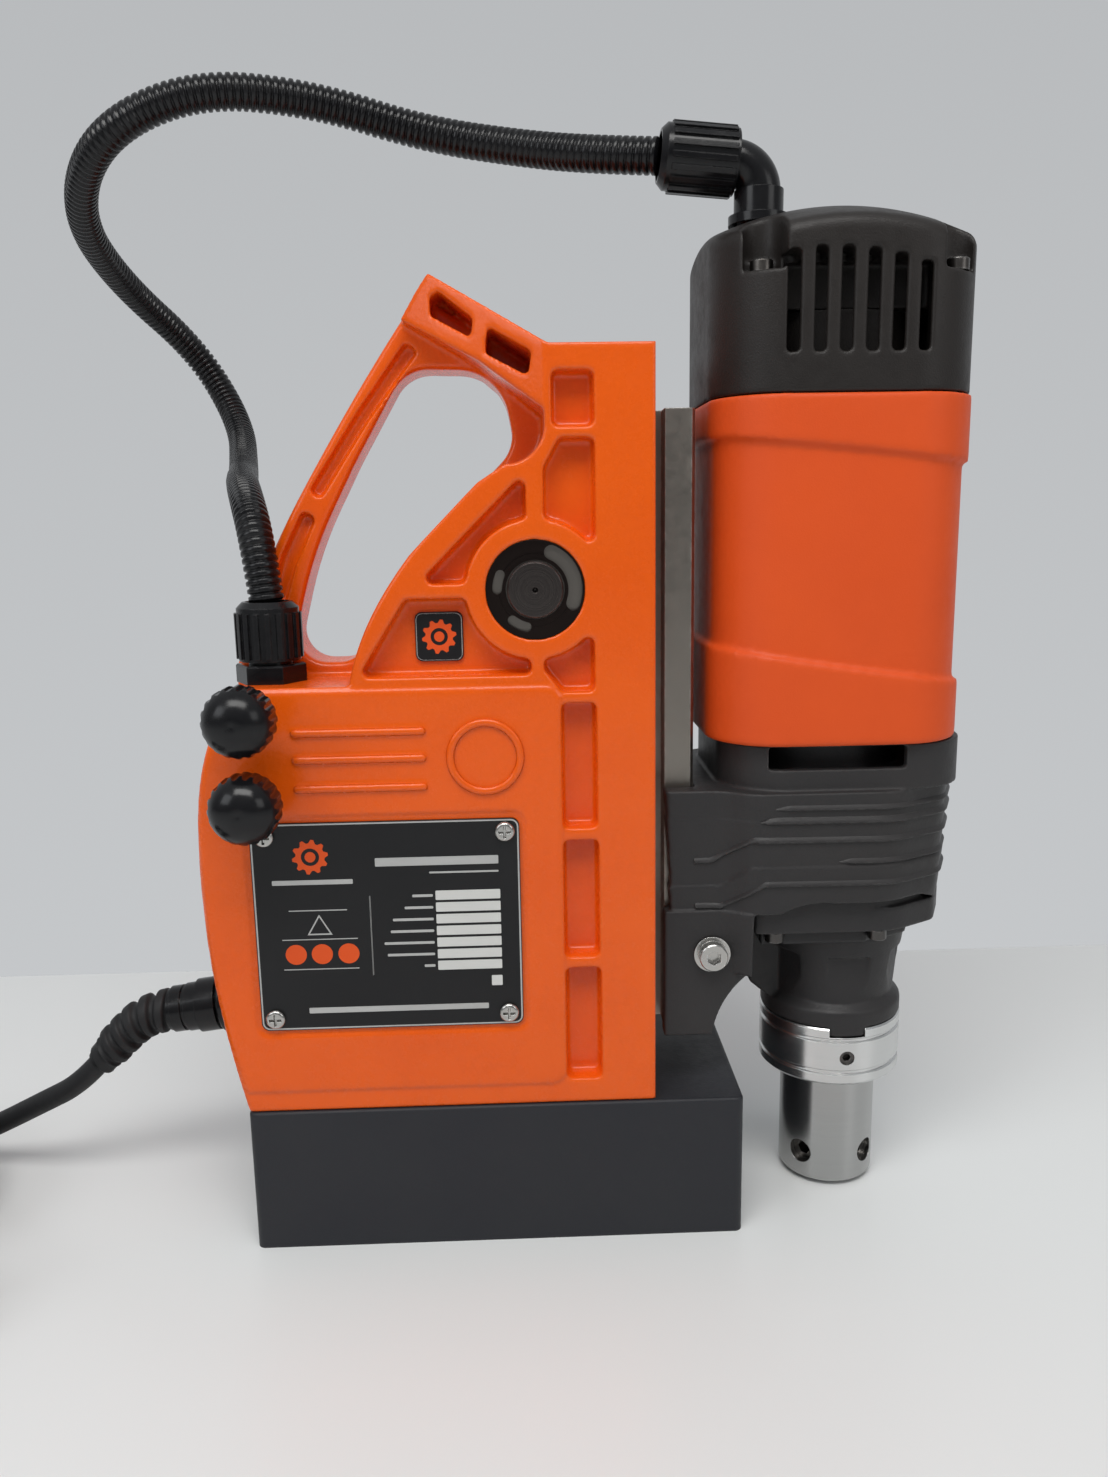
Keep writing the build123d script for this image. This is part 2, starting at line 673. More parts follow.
bezel_face = cover_face + cover_thickness
with BuildPart() as switch_bezels:
    with BuildSketch(near.offset(-bezel_face)):
        with Locations(rocker_place):
            RectangleRounded(24.0, 36.0, 2.5)
            Rectangle(15.0, 27.0, mode=Mode.SUBTRACT)
    extrude(amount=-2.5)
    with BuildSketch(near.offset(-bezel_face)):
        with Locations(*button_places.values()):
            Circle(button_radius + 4.5)
            Circle(button_radius + 0.3, mode=Mode.SUBTRACT)
    extrude(amount=-3.0)
    with BuildSketch(near.offset(-(cover_face - 14.0))):  # the switch bodies behind the cover
        with Locations(rocker_place):
            Rectangle(20.0, 32.0)
            Rectangle(15.0, 27.0, mode=Mode.SUBTRACT)
    extrude(amount=-14.0)
    with BuildSketch(near.offset(-(cover_face - 16.0))):
        with Locations(*button_places.values()):
            Circle(button_radius + 3.0)
            Circle(button_radius + 0.3, mode=Mode.SUBTRACT)
    extrude(amount=-16.0)

rocker_pivot = bezel_face - 2.0
with BuildPart() as magnet_rocker:
    with BuildSketch(Plane.YZ.offset(rocker_place[0] - 7.0)):
        with Locations((rocker_pivot, rocker_place[1])):
            front = [(-1.0, -12.6), (4.0, -12.6), (3.4, 0.0), (7.4, 11.8), (1.4, 12.4)]
            Polygon((-7.0, -4.0), *front, (-7.0, 4.0), align=None)
    extrude(amount=14.0)
    fillet(magnet_rocker.edges().filter_by(Axis.X).group_by(Axis.Y)[-1], radius=0.8)


def push_button(place):
    """A round push button whose cap stands proud of its bezel."""
    with BuildPart() as button:
        with BuildSketch(near.offset(-(cover_face - 8.0))):
            with Locations(place):
                Circle(button_radius)
        extrude(amount=-(8.0 + cover_thickness + 6.0))
        fillet(button.edges().sort_by(Axis.Y)[-1], radius=1.5)
    return button.part


with BuildPart() as start_button:
    add(push_button(button_places["start_button"]))

with BuildPart() as stop_button:
    add(push_button(button_places["stop_button"]))

with BuildPart() as circuit_board:
    with BuildSketch(near.offset(near_wall - 8.0)):
        with Locations((-39.0, 140.0)):
            Rectangle(64.0, 110.0)
    extrude(amount=-1.6)
    with BuildSketch(near.offset(near_wall - 9.6)):
        with Locations((-50.0, 165.0)):
            RectangleRounded(28.0, 32.0, 2.0)
        with Locations((-24.0, 160.0), (-24.0, 138.0)):
            Circle(8.0)
        with Locations((-46.0, 112.0)):
            Rectangle(34.0, 14.0)
    extrude(amount=-18.0)

# ---------------------------------------------------------------- conduit gland, mains gland
with BuildPart() as conduit_gland:
    with BuildSketch(Plane.XY.offset(ledge_height)):
        with Locations((cord_gland_x, cord_gland_y)):
            RegularPolygon(13.0, 6)
    extrude(amount=6.8)
    chamfer(conduit_gland.faces().sort_by(Axis.Z)[-1].edges(), length=0.6)
    with BuildSketch(Plane.XY.offset(compartment_high - 6.0)):
        with Locations((cord_gland_x, cord_gland_y)):
            Circle(7.9)
    extrude(amount=232.0 - compartment_high + 6.0)
    with BuildSketch(Plane.XY.offset(compartment_high - 6.0)):
        with Locations((cord_gland_x, cord_gland_y)):
            Circle(5.0)
    extrude(amount=40.0, mode=Mode.SUBTRACT)

nut_bottom = 228.0
with BuildPart() as conduit_gland_nut:
    with Locations((cord_gland_x, cord_gland_y, nut_bottom)):
        add(ribbed_nut(cord_gland_top - nut_bottom, 8.0))

mains_hex_length = 14.0
mains_body_length = 28.0
with BuildPart() as mains_gland:
    with BuildSketch(mains_plane.offset(-0.5)):
        Circle(12.0)
    extrude(amount=mains_hex_length)
    chamfer(mains_gland.edges().filter_by(GeomType.CIRCLE).sort_by(Axis.X)[0], length=0.8)
    with BuildSketch(mains_plane.offset(-12.0)):
        Circle(7.9)
    extrude(amount=mains_body_length + 6.0)
    with BuildSketch(mains_plane.offset(-12.0)):
        Circle(5.2)
    extrude(amount=mains_body_length + 12.0, mode=Mode.SUBTRACT)

nut_steps = ((0.5, 8.0, 11.0), (8.5, 4.8, 9.9), (13.3, 1.6, 8.8), (14.9, 4.6, 9.5), (19.5, 1.5, 8.6))
with BuildPart() as mains_gland_nut:
    for start, length, radius in nut_steps:
        with BuildSketch(mains_plane.offset(mains_hex_length + start)):
            Circle(radius)
        extrude(amount=length)
    with BuildSketch(mains_plane.offset(mains_hex_length)):
        Circle(8.2)
    extrude(amount=24.0, mode=Mode.SUBTRACT)

relief_start = mains_plane.offset(mains_hex_length + 21.0)
relief_points = [
    tuple(relief_start.origin),
    (-145.0, 0.0, 78.5),
    (-156.0, 0.0, 69.5),
    (-167.0, 0.0, 57.5),
]
with BuildPart() as strain_relief:  # a bellows boot, tapered towards the cable
    with BuildLine() as relief_route:
        FilletPolyline(*relief_points, radius=bend_radii("strain relief", relief_points))
    for share, radius in ((0.0, 7.9), (0.35, 8.4), (0.7, 7.6), (1.0, 6.4)):
        with BuildSketch(Plane(origin=relief_route.line @ share, z_dir=relief_route.line % share)):
            Circle(radius)
    loft()

# ---------------------------------------------------------------- mains cable, coil and plug
cable_points = [
    (-167.0, 0.0, 57.5),
    (-176.0, 0.0, 47.7),
    (-196.0, 6.0, 36.2),
    (-218.0, 14.0, 23.0),
    (-240.0, 23.0, 10.4),
    (-259.0, 28.2, 5.0),
    (-277.0, 29.0, 4.6),
]
with BuildPart() as mains_cable:
    add(tube_along("mains cable", cable_points, cable_radius))

coil_outer_turn = coil_inner_turn + 2 * cable_radius
with BuildPart() as mains_cable_coil:
    with BuildSketch(Plane.XY):
        with Locations((coil_x, coil_y)):
            Circle(coil_outer_turn + cable_radius)
            Circle(coil_inner_turn - cable_radius, mode=Mode.SUBTRACT)
    extrude(amount=coil_layers * 2 * cable_radius + 0.3)
    fillet(mains_cable_coil.edges(), radius=3.0)

plug_start = (coil_x + 18.0, coil_y - coil_outer_turn - 1.0, 19.0)
plug_plane = Plane(origin=plug_start, z_dir=(1, 0, 0), x_dir=(0, 1, 0))
with BuildPart() as mains_plug:
    plug_stations = ((0, 5.6), (16, 6.6), (26, 11.5), (34, 17.5), (44, 18.5), (52, 18.5))
    for distance, radius in plug_stations:
        with BuildSketch(plug_plane.offset(distance)):
            Circle(radius)
    loft()
    with BuildSketch(plug_plane.offset(52)):
        with Locations((-9.5, 0), (9.5, 0)):
            Circle(2.4)
    extrude(amount=19.0)
    fillet(mains_plug.edges().filter_by(GeomType.CIRCLE).sort_by(Axis.X)[-2:], radius=1.0)

# ---------------------------------------------------------------- carriage: rail and rack
with BuildPart() as slide_rail:
    with BuildSketch(Plane.XY.offset(rail_bottom)):
        Polygon(
            (rail_plate_back, -slide_neck_half + 0.2),
            (frame_front - 0.2, -slide_neck_half + 0.2),
            (slide_depth + 0.2, -slide_wide_half + 0.4),
            (slide_depth + 0.2, -14.0),
            (42.0, -14.0),
            (42.0, 14.0),
            (slide_depth + 0.2, 14.0),
            (slide_depth + 0.2, slide_wide_half - 0.4),
            (frame_front - 0.2, slide_neck_half - 0.2),
            (rail_plate_back, slide_neck_half - 0.2),
            (rail_plate_back, rail_plate_half),
            (rail_plate_front, rail_plate_half),
            (rail_plate_front, -rail_plate_half),
            (rail_plate_back, -rail_plate_half),
            align=None,
        )
    extrude(amount=rail_top - rail_bottom)
    chamfer(slide_rail.edges().filter_by(Axis.Z).group_by(Axis.X)[-1], length=1.2)

rack_pitch = math.pi * feed_module
rack_line = hub_x + feed_pitch_radius
rack_count = 48
rack_low = hub_z - rack_pitch * 36
tooth_half = rack_pitch / 4 - backlash / 2
tooth_slope = math.tan(pressure_angle)
rack_tip = rack_line - 0.9 * feed_module
rack_root = rack_line + 1.2 * feed_module
rack_points = [(42.0, rack_low)]
for tooth in range(rack_count):
    middle = rack_low + rack_pitch * (tooth + 0.5)
    tip_half = tooth_half - 0.9 * feed_module * tooth_slope
    root_half = tooth_half + 1.2 * feed_module * tooth_slope
    rack_points += [
        (rack_root, middle - root_half),
        (rack_tip, middle - tip_half),
        (rack_tip, middle + tip_half),
        (rack_root, middle + root_half),
    ]
rack_points.append((42.0, rack_low + rack_pitch * rack_count))
with BuildPart() as feed_rack:
    with BuildSketch(near):
        Polygon(*rack_points, align=None)
    extrude(amount=rack_half, both=True)

# ---------------------------------------------------------------- carriage: gearbox
first_distance = first_module * (first_pinion_teeth + first_gear_teeth) / 2
second_distance = second_module * (second_pinion_teeth + second_gear_teeth) / 2
axis_gap = spindle_x - motor_x
layshaft_dx = (first_distance**2 - second_distance**2 + axis_gap**2) / (2 * axis_gap)
layshaft_x = motor_x + layshaft_dx
layshaft_y = math.sqrt(first_distance**2 - layshaft_dx**2)


cover_bolt_places = [(x, y) for x in (108.0, 148.0) for y in (-35.2, 35.2)]


def housing_band(inset, region):
    """The gearbox outline drawn in by inset and tapered downwards, kept inside a side-view region."""
    high = max(z for x, z in region)
    low = min(z for x, z in region)
    with BuildPart() as band:
        with BuildSketch(Plane.XY.offset(high)):
            add(gearbox_profile.sketch)
            if inset > 0:
                offset(amount=-inset)
        extrude(amount=low - high, taper=5)
        with BuildSketch(near):
            Polygon(*region, align=None)
        extrude(amount=base_width, both=True, mode=Mode.INTERSECT)
    return band.part


ledge_bands = [  # inset and side-view region of each stepped band
    (0.0, [(60, 166), (190, 166), (190, 177), (60, 177)]),
    (0.5, [(60, 148.8), (83, 148.8), (98, 159), (190, 159), (190, 166), (60, 166)]),
    (0.9, [(60, 139), (86, 139), (97, 148), (190, 148), (190, 159), (98, 159), (83, 148.8), (60, 148.8)]),
    (1.0, [(60, 130), (88, 130), (103, 141.3), (190, 141.3), (190, 148), (97, 148), (86, 139), (60, 139)]),
    (1.6, [(60, 129.5), (190, 129.5), (190, 141.3), (103, 141.3), (88, 130), (60, 130)]),
    (1.6, [(60, 104), (98.5, 104), (99.0, 119.7), (104.4, 126.3), (113.0, 129.5), (60, 129.5)]),
]

with BuildPart() as gearbox_housing:
    for inset, region in ledge_bands:
        add(housing_band(inset, region))
    # carriage bracket, arched towards the spindle nose
    with BuildSketch(Plane.XY.offset(bracket_bottom)):
        Polygon((65.2, -37.4), (98.5, -37.4), (98.5, 37.4), (65.2, 37.4), align=None)
    extrude(amount=gearbox_split - bracket_bottom)
    with BuildSketch(near):
        with BuildLine():
            Line((84.0, bracket_bottom - 1), (84.0, bracket_bottom))
            ThreePointArc((84.0, bracket_bottom), (88.2, 92.0), (98.5, 104.0))
            Polyline((98.5, 104.0), (100.0, 104.0), (100.0, bracket_bottom - 1), (84.0, bracket_bottom - 1))
        make_face()
    extrude(amount=base_width, both=True, mode=Mode.SUBTRACT)
    # neck under the motor, with its air windows
    with BuildSketch(Plane(origin=(motor_x + 3.6, 0, gearbox_top))):
        RectangleRounded(93.0, 87.0, 24.0)
    extrude(amount=shell_bottom - gearbox_top - 0.2)
    with BuildSketch(Plane(origin=(motor_x + 3.6, 0, gearbox_top + 5))):
        RectangleRounded(85.0, 79.0, 20.0)
    extrude(amount=shell_bottom - gearbox_top, mode=Mode.SUBTRACT)
    with BuildSketch(near):
        with Locations((128.4, 189.4)):
            RectangleRounded(51.0, 8.6, 1.0)
    extrude(amount=base_width, both=True, mode=Mode.SUBTRACT)
    with BuildSketch(motor_level(gearbox_top)):
        Circle(33.0)
    extrude(amount=17.0)
    with BuildSketch(motor_level(gearbox_top)):
        Circle(7.5)
    extrude(amount=17.0, mode=Mode.SUBTRACT)
    # gear room, open at the bottom
    with BuildSketch(Plane.XY.offset(gearbox_split)):
        add(gearbox_profile.sketch)
        offset(amount=-6.8)
        with Locations((133.0, 0)):
            Rectangle(96.0, 90.0, mode=Mode.INTERSECT)
    extrude(amount=41.5, mode=Mode.SUBTRACT)
    with BuildSketch(Plane.XY.offset(gearbox_split)):
        with Locations((139.0, 0)):
            Rectangle(81.0, 100.0)
    extrude(amount=-30.0, mode=Mode.SUBTRACT)
    with BuildSketch(Plane.XY.offset(137.0)):
        with Locations(*[(x, math.copysign(38.0, y)) for x, y in cover_bolt_places]):
            Rectangle(9.0, 7.0)
        with Locations(*cover_bolt_places):
            Circle(4.5)
    extrude(amount=14.0)
    with BuildSketch(Plane.XY.offset(137.0)):
        with Locations(*cover_bolt_places):
            Circle(2.05)
    extrude(amount=12.0, mode=Mode.SUBTRACT)
    # the near and far skirts end in an arch over the cover
    with BuildSketch(near):
        with BuildLine():
            ThreePointArc((99.0, 119.7), (110.0, 130.2), (128.0, 133.6))
            Line((128.0, 133.6), (158.0, 133.6))
            ThreePointArc((158.0, 133.6), (167.0, 132.4), (173.0, 129.0))
            Polyline((173.0, 129.0), (173.0, 110.0), (99.0, 110.0), (99.0, 119.7))
        make_face()
    extrude(amount=base_width, both=True, mode=Mode.SUBTRACT)
    # slot for the rail's plate
    with BuildSketch(Plane.XY.offset(bracket_bottom)):
        slot_front = rail_plate_front + 0.1
        Polygon((60, -30.2), (slot_front, -30.2), (slot_front, 30.2), (60, 30.2), align=None)
    extrude(amount=gearbox_top - bracket_bottom + 30, mode=Mode.SUBTRACT)
    # flats and holes of the bracket bolts
    for side in (1, -1):
        with BuildSketch(side_plane(side, 37.4)):
            with Locations((bracket_bolt_x, bracket_bolt_z)):
                Circle(7.4)
        extrude(amount=side * 12.0, mode=Mode.SUBTRACT)
    with BuildSketch(near):
        with Locations((bracket_bolt_x, bracket_bolt_z)):
            Circle(4.0)
    extrude(amount=base_width, both=True, mode=Mode.SUBTRACT)
    # seats of the armature's bearing and the layshaft
    with BuildSketch(motor_level(gearbox_split)):
        Circle(16.0)
    extrude(amount=52.5, mode=Mode.SUBTRACT)
    with BuildSketch(Plane.XY.offset(gearbox_split)):
        with Locations((layshaft_x, layshaft_y)):
            Circle(4.05)
    extrude(amount=46.0, mode=Mode.SUBTRACT)

with BuildPart() as bracket_bolts:
    for side in (-1, 1):
        bolt_plane = Plane(origin=(bracket_bolt_x, side * 39.2, bracket_bolt_z), z_dir=(0, side, 0))
        with Locations(bolt_plane):
            add(socket_screw(5.4, 4.2, 3.95, 18.0, 5.0))
        with BuildSketch(bolt_plane.offset(-1.7)):
            Circle(7.0)
        extrude(amount=1.7)

nose_shift = 5.0  # the cover's front stands this far ahead of the outline that fits the housing
with BuildPart() as gearbox_cover:
    for shift in (0.0, nose_shift):
        with BuildSketch(Plane.XY.offset(gearbox_step)):
            with Locations((shift, 0)):
                add(gearbox_profile.sketch)
            offset(amount=-7.2)
            with Locations((145.0, 0)):
                Rectangle(91.0, 90.0, mode=Mode.INTERSECT)
        extrude(amount=gearbox_split - gearbox_step)
    with BuildSketch(Plane.XY.offset(gearbox_split)):
        add(gearbox_profile.sketch)
        offset(amount=-7.2)
        with Locations((145.0, 0)):
            Rectangle(91.0, 90.0, mode=Mode.INTERSECT)
        offset(amount=-3.5, mode=Mode.SUBTRACT)
    extrude(amount=6.5)
    with BuildSketch(Plane.XY.offset(gearbox_floor)):
        add(gearbox_profile.sketch)
        offset(amount=-13.0)
        with Locations((145.0, 0)):
            Rectangle(84.0, 90.0, mode=Mode.INTERSECT)
    extrude(amount=gearbox_step - gearbox_floor)
    with BuildSketch(spindle_level(gearbox_floor)):
        Circle(journal_radius + 1.0)
    extrude(amount=30.0, mode=Mode.SUBTRACT)
    with BuildSketch(spindle_level(gearbox_split - 8.0)):
        Circle(21.0)
    extrude(amount=12.0, mode=Mode.SUBTRACT)
    with BuildSketch(Plane.XY.offset(gearbox_split)):
        with Locations((layshaft_x, layshaft_y)):
            Circle(4.05)
    extrude(amount=-6.0, mode=Mode.SUBTRACT)
    with BuildSketch(Plane.XY.offset(gearbox_step)):
        with Locations(*cover_bolt_places):
            Circle(2.2)
    extrude(amount=20.0, mode=Mode.SUBTRACT)
    with BuildSketch(Plane.XY.offset(gearbox_step)):
        with Locations(*cover_bolt_places):
            Circle(4.0)
    extrude(amount=-10.0, mode=Mode.SUBTRACT)

with BuildPart() as cover_bolts:
    with Locations(*[Plane(origin=(x, y, gearbox_step), z_dir=(0, 0, -1)) for x, y in cover_bolt_places]):
        add(socket_screw(3.5, 4.0, 2.0, 26.0, 3.0))

# ---------------------------------------------------------------- carriage: spindle nose and collar
nose_profile = [(15.95, 113.4), (29.5, 113.4), (28.0, 104.0), (25.2, 84.5), (28.4, 81.5), (28.6, 79.8)]
nose_profile += [(28.6, 75.0), (24.0, 75.0), (24.0, 68.6), (21.0, 68.6), (21.0, 78.0), (15.95, 78.0)]
tab_width = 14.0
with BuildPart() as spindle_nose:
    with BuildSketch(Plane(origin=(spindle_x, 0, 0), x_dir=(1, 0, 0), z_dir=(0, -1, 0))):
        Polygon(*nose_profile, align=None)
    revolve(axis=Axis((spindle_x, 0, 0), (0, 0, 1)))
    with BuildSketch(spindle_level(86.5)):
        with PolarLocations(28.0, 6, start_angle=-90):
            Rectangle(5.6, 17.0)
    extrude(amount=18.0, mode=Mode.SUBTRACT)
    with BuildSketch(spindle_level(71.6)):
        Circle(28.6)
        Circle(24.0, mode=Mode.SUBTRACT)
        with Locations((0, -30)):
            Rectangle(tab_width, 40.0, mode=Mode.INTERSECT)
    extrude(amount=4.0)
    # stiffening rib towards the bracket
    with BuildSketch(near):
        rib_edge = [(100.2, 103.0), (104.5, 88.0), (113.5, 80.5), (116.0, 84.0)]
        Polygon((100.2, 113.3), *rib_edge, (116.0, 113.3), align=None)
    extrude(amount=9.0, both=True)

with BuildPart() as coolant_collar:
    with BuildSketch(Plane(origin=(spindle_x, 0, 0), x_dir=(1, 0, 0), z_dir=(0, -1, 0))):
        Polygon(
            (20.4, 50.5),
            (27.4, 50.5),
            (28.75, 51.8),
            (28.75, 55.2),
            (27.9, 55.8),
            (27.9, 56.8),
            (28.75, 57.4),
            (28.75, 69.0),
            (27.9, 69.6),
            (27.9, 70.4),
            (28.75, 71.0),
            (28.75, 74.2),
            (28.2, 74.8),
            (24.2, 74.8),
            (24.2, 68.4),
            (20.4, 68.4),
            align=None,
        )
    revolve(axis=Axis((spindle_x, 0, 0), (0, 0, 1)))
    with BuildSketch(spindle_level(71.3)):
        with Locations((0, -30)):
            Rectangle(tab_width + 0.4, 16.0)
    extrude(amount=5.0, mode=Mode.SUBTRACT)
    with BuildSketch(Plane(origin=(spindle_x, -32.0, 62.6), x_dir=(1, 0, 0), z_dir=(0, -1, 0))):
        Circle(3.0)
    extrude(amount=-14.0, mode=Mode.SUBTRACT)

with BuildPart() as collar_screw:
    with BuildSketch(Plane(origin=(spindle_x, -27.6, 62.6), x_dir=(1, 0, 0), z_dir=(0, -1, 0))):
        Circle(2.95)
    extrude(amount=-6.6)
    with BuildSketch(Plane(origin=(spindle_x, -27.6, 62.6), x_dir=(1, 0, 0), z_dir=(0, -1, 0))):
        RegularPolygon(1.5, 6, major_radius=False)
    extrude(amount=-2.5, mode=Mode.SUBTRACT)

with BuildPart() as spindle_bearings:
    add(ring(spindle_level(70.8), bearing_radius, journal_radius + 0.05, 7.0))
    add(ring(spindle_level(gearbox_split - 7.6), bearing_radius, journal_radius + 0.05, 7.0))

# ---------------------------------------------------------------- carriage: motor
with BuildPart() as waist_groove:  # the band that is cut out of the shell, between slanted steps
    with BuildSketch(near):
        Polygon((70, 232.2), (190, 213.9), (190, 293.4), (70, 306.2), align=None)
    extrude(amount=base_width, both=True)
    with BuildSketch(motor_level(shell_bottom)):
        add(waist_outline)
    extrude(amount=shell_top - shell_bottom, mode=Mode.SUBTRACT)

with BuildPart() as motor_shell:
    with BuildSketch(motor_level(shell_bottom)):
        add(shell_outline)
    extrude(amount=shell_top - shell_bottom)
    fillet(motor_shell.faces().sort_by(Axis.Z)[0].edges(), radius=1.5)
    add(waist_groove.part, mode=Mode.SUBTRACT)
    with BuildSketch(motor_level(shell_bottom)):
        add(waist_inner)
    extrude(amount=shell_top - shell_bottom, mode=Mode.SUBTRACT)
    with BuildSketch(motor_level(shell_top - 30.0)):
        with Locations(*cap_screw_places):
            Circle(4.6)
        add(shell_inner, mode=Mode.INTERSECT)
    extrude(amount=30.0)
    with BuildSketch(motor_level(shell_top - 26.0)):
        with Locations(*cap_screw_places):
            Circle(2.05)
    extrude(amount=26.0, mode=Mode.SUBTRACT)

slot_pitch = 9.0
slot_bottom = 331.9


def slot_top(offset):
    """The height of an air slot's top end; the row follows the crown."""
    return 365.9 - 0.0052 * (offset + 9.0) ** 2


with BuildPart() as motor_cap:
    with BuildSketch(motor_level(shell_top + 0.2)):
        add(cap_outline)
    extrude(amount=cap_top - shell_top)
    with BuildSketch(Plane(origin=(motor_x - 1, 0, 0), x_dir=(1, 0, 0), z_dir=(0, -1, 0))):
        with BuildLine():
            crown = ThreePointArc((0, cap_top), (40.0, cap_top - 7.9), (78.0, cap_top - 32.0))
            Polyline(crown @ 1, (78.0, cap_top + 10), (0, cap_top + 10), (0, cap_top))
        make_face()
    revolve(axis=Axis((motor_x - 1, 0, 0), (0, 0, 1)), mode=Mode.SUBTRACT)
    fillet(motor_cap.faces().sort_by(Axis.Z)[-1].edges(), radius=6.0)
    with BuildSketch(motor_level(shell_top)):
        add(shell_inner)
    extrude(amount=44.0, mode=Mode.SUBTRACT)
    # screw columns and their notches
    with BuildSketch(motor_level(shell_top + 0.2)):
        with Locations(*cap_screw_places):
            Circle(9.0)
        add(shell_inner, mode=Mode.INTERSECT)
    extrude(amount=cap_screw_z - shell_top + 4)
    with BuildSketch(motor_level(cap_screw_z)):
        with Locations(*cap_screw_places):
            Circle(6.9)
        with Locations(*[(x, y + math.copysign(8.0, y)) for x, y in cap_screw_places]):
            Rectangle(13.8, 16.0)
    extrude(amount=60.0, mode=Mode.SUBTRACT)
    with BuildSketch(motor_level(shell_top)):
        with Locations(*cap_screw_places):
            Circle(2.2)
    extrude(amount=60.0, mode=Mode.SUBTRACT)
    # top bearing bridge
    with BuildSketch(motor_level(347.5)):
        add(shell_inner)
        Rectangle(120.0, 66.0, mode=Mode.INTERSECT)
    extrude(amount=16.0)
    with BuildSketch(motor_level(346.0)):
        Circle(11.0)
    extrude(amount=10.0, mode=Mode.SUBTRACT)
    # wiring space under the crown, and the elbow's seat and cable hole
    with BuildSketch(motor_level(363.5)):
        Circle(30.0)
    extrude(amount=14.0, mode=Mode.SUBTRACT)
    with BuildSketch(Plane.XY.offset(elbow_seat)):
        with Locations((elbow_x, elbow_y)):
            Circle(11.3)
    extrude(amount=20.0, mode=Mode.SUBTRACT)
    # air slots on both flanks
    for side in (1, -1):
        with BuildSketch(side_plane(side, 36.0)):
            for number in range(6):
                offset_x = (number - 2.5) * slot_pitch
                height = slot_top(offset_x) - slot_bottom
                with Locations((motor_x + 0.1 + offset_x, slot_bottom + height / 2)):
                    RectangleRounded(4.3, height, 0.8)
        extrude(amount=side * 20.0, mode=Mode.SUBTRACT)
    with BuildSketch(Plane.XY.offset(370.0)):
        with Locations((elbow_x, elbow_y)):
            Circle(8.0)
    extrude(amount=30.0, mode=Mode.SUBTRACT)

with BuildPart() as air_baffle:  # keeps the cooling air off the brushes
    with BuildSketch(motor_level(shell_top + 0.4)):
        Circle(34.5)
        Circle(32.8, mode=Mode.SUBTRACT)
    extrude(amount=27.0)
    with BuildSketch(motor_level(shell_top + 27.2)):
        Circle(34.5)
        Circle(12.0, mode=Mode.SUBTRACT)
    extrude(amount=1.8)

with BuildPart() as cap_screws:
    with Locations(motor_level(cap_screw_z)):
        with Locations(*cap_screw_places):
            add(socket_screw(4.0, 4.0, 2.0, 62.0, 3.0))

with BuildPart() as stator:
    with BuildSketch(motor_level(214.0)):
        Circle(41.5)
        Circle(27.0, mode=Mode.SUBTRACT)
    extrude(amount=72.0)
    with BuildSketch(motor_level(206.0)):
        Circle(38.0)
        Circle(29.0, mode=Mode.SUBTRACT)
    extrude(amount=88.0)

with BuildPart() as brush_carrier:
    with BuildSketch(motor_level(299.0)):
        Circle(41.0)
        Circle(17.0, mode=Mode.SUBTRACT)
    extrude(amount=3.0)
    with BuildSketch(motor_level(302.0)):
        with Locations((-25.0, 0), (25.0, 0)):
            Rectangle(22.0, 11.0)
    extrude(amount=12.0)

with BuildPart() as motor_bearings:
    add(ring(motor_level(171.2), 15.97, 6.05, 10.0))
    add(ring(motor_level(348.5), 10.97, 4.05, 7.0))

# ---------------------------------------------------------------- carriage: conduit elbow
nut_axis = Vector(-math.cos(elbow_tilt), 0, math.sin(elbow_tilt))
elbow_corner = Vector(elbow_x, elbow_y, elbow_z)
elbow_arm_end = elbow_corner + nut_axis * 15.0
with BuildPart() as conduit_elbow:
    with BuildLine() as elbow_route:
        FilletPolyline((elbow_x, elbow_y, 378.0), elbow_corner, elbow_arm_end, radius=[10.5])
    with BuildSketch(Plane(origin=elbow_route.line @ 0, z_dir=elbow_route.line % 0)):
        Circle(7.9)
    sweep(path=elbow_route.line)
    for radius, height in ((11.0, 3.2), (9.0, 12.0)):
        with BuildSketch(Plane(origin=(elbow_x, elbow_y, elbow_seat))):
            Circle(radius)
        extrude(amount=height)

elbow_nut_start = elbow_corner + nut_axis * 8.8
elbow_nut_length = 28.0
elbow_nut_end = elbow_nut_start + nut_axis * elbow_nut_length
with BuildPart() as elbow_nut:
    with Locations(Plane(origin=elbow_nut_start, z_dir=nut_axis)):
        add(ribbed_nut(elbow_nut_length, 8.1))

conduit_points = [
    (cord_gland_x, cord_gland_y, cord_gland_top),
    (-82.5, -24.5, 273.0),
    (-90.0, -4.0, 288.0),
    (-100.0, 34.0, 295.0),
    (-112.0, 92.0, 300.0),
    (-124.0, 146.0, 326.0),
    (-144.0, 150.0, 362.0),
    (-168.0, 112.0, 388.0),
    (-167.0, 60.0, 404.0),
    (-142.0, 18.0, 421.0),
    (-104.0, 14.0, 436.0),
    (-62.0, 26.0, 436.0),
    (-20.0, 32.0, 425.0),
    (20.0, 18.0, 415.0),
    (46.0, 1.0, 408.0),
    (elbow_nut_end.X, elbow_nut_end.Y, elbow_nut_end.Z),
]
with BuildPart() as conduit:
    add(tube_along("conduit", conduit_points, conduit_radius))

